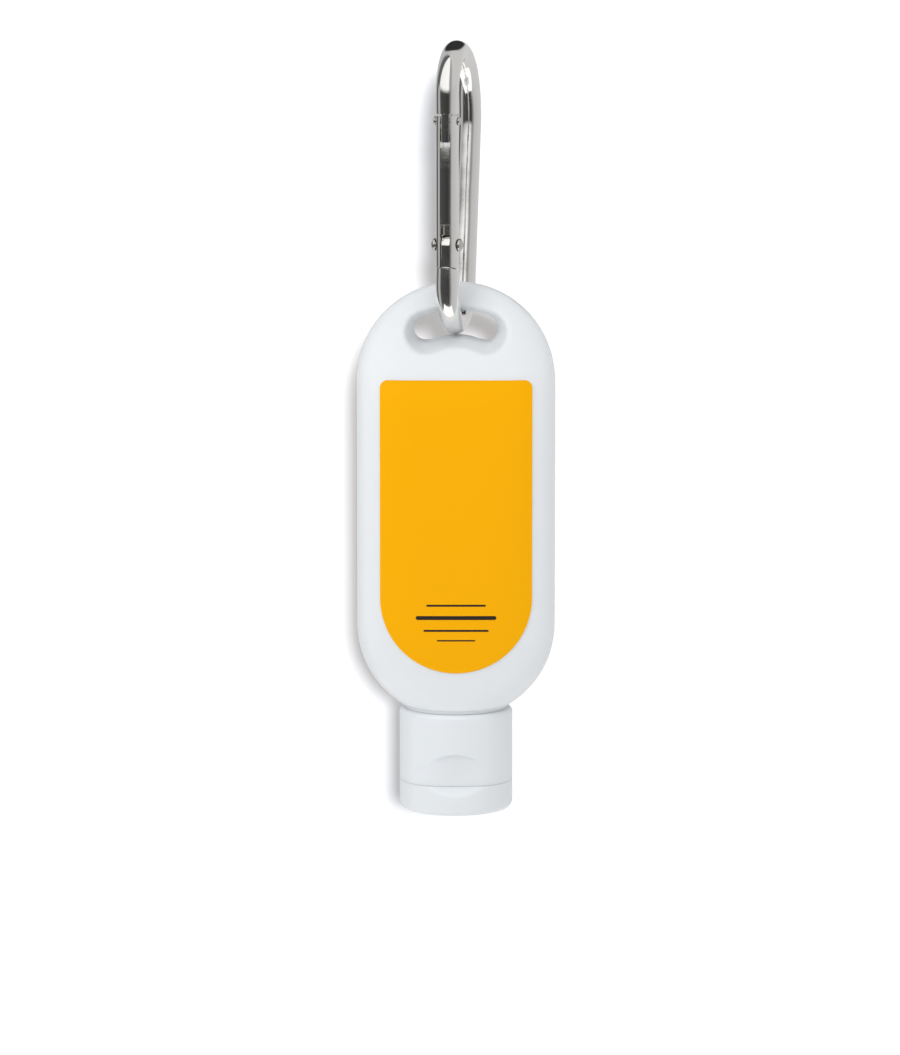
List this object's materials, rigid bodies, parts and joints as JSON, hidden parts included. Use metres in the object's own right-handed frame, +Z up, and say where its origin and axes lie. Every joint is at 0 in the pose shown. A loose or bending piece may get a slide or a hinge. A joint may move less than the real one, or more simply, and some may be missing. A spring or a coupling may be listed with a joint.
{
  "type": "sunscreen bottle",
  "caption": "Squeeze bottle of sunscreen with a flip-top screw cap, hung cap down from a snap hook through a slot in its tab.",
  "frame": {"origin": "point on the inside of the hook's top bend, straight above the bottle, where the object hangs", "axes": "+Z up, along the bottle's height; +X to the right in the front view; -Y towards the viewer, where the front label faces"},
  "size_m": [0.0414, 0.0289, 0.1624],
  "materials": {
    "polished_rod": "bright nickel plating on a bent steel rod",
    "pin_steel": "plated rivet steel, slightly dull",
    "brass_plunger": "turned brass",
    "spring_wire": "drawn spring wire",
    "bottle_plastic": "white polyethylene, satin, faint moulding ripple",
    "cap_plastic": "white polypropylene, smooth satin",
    "label_film": "orange film label with a pale edge, semi-gloss",
    "lotion_cream": "cream lotion",
    "foam_liner": "soft white foam liner"
  },
  "bodies": {
    "hook": {"carabiner_frame": "polished_rod", "gate_rivet": "pin_steel"},
    "gate": {"gate": "polished_rod", "latch_pin": "pin_steel", "gate_spring": "spring_wire"},
    "plunger": {"spring_plunger": "brass_plunger"},
    "bottle": {"bottle_body": "bottle_plastic", "lotion": "lotion_cream", "front_label": "label_film", "back_label": "label_film"},
    "washer": {"sealing_washer": "foam_liner"},
    "cap": {"cap_base": "cap_plastic", "living_hinge": "cap_plastic"},
    "lid": {"cap_lid": "cap_plastic"}
  },
  "joints": [
    {"name": "gate_open", "type": "hinge", "parent": "hook", "child": "gate", "pos_m": [-0.00183, -0.00861, -0.0369], "axis": [-0.9781, 0.2079, 0], "range_deg": [0, 30], "stiffness_Nm_per_rad": 0.06, "springref_deg": -28.65, "deforming": ["gate_spring"]},
    {"name": "plunger_slide", "type": "slide", "parent": "gate", "child": "plunger", "axis": [0, 0, 1], "range_m": [0, 0.00106], "deforming": ["gate_spring"]},
    {"name": "bottle_swing", "type": "hinge", "parent": "hook", "child": "bottle", "pos_m": [0, 0, -0.054], "axis": [0.2079, 0.9781, 0], "range_deg": [-60, 60]},
    {"name": "cap_travel", "type": "slide", "parent": "bottle", "child": "washer", "axis": [0, 0, -1], "range_m": [0, 0.0048]},
    {"name": "cap_turn", "type": "hinge", "parent": "washer", "child": "cap", "pos_m": [0, 0, -0.1507], "axis": [0, 0, -1], "range_deg": [0, 540]},
    {"name": "lid_flip", "type": "hinge", "parent": "cap", "child": "lid", "pos_m": [0, 0.0122, -0.1507], "axis": [1, 0, 0], "range_deg": [0, 150], "deforming": ["living_hinge"]}
  ],
  "couplings": [
    {"joint": "plunger_slide", "follows": "gate_open", "m_per_rad": 0.00195},
    {"joint": "cap_travel", "follows": "cap_turn", "m_per_rad": 0.00050532}
  ]
}
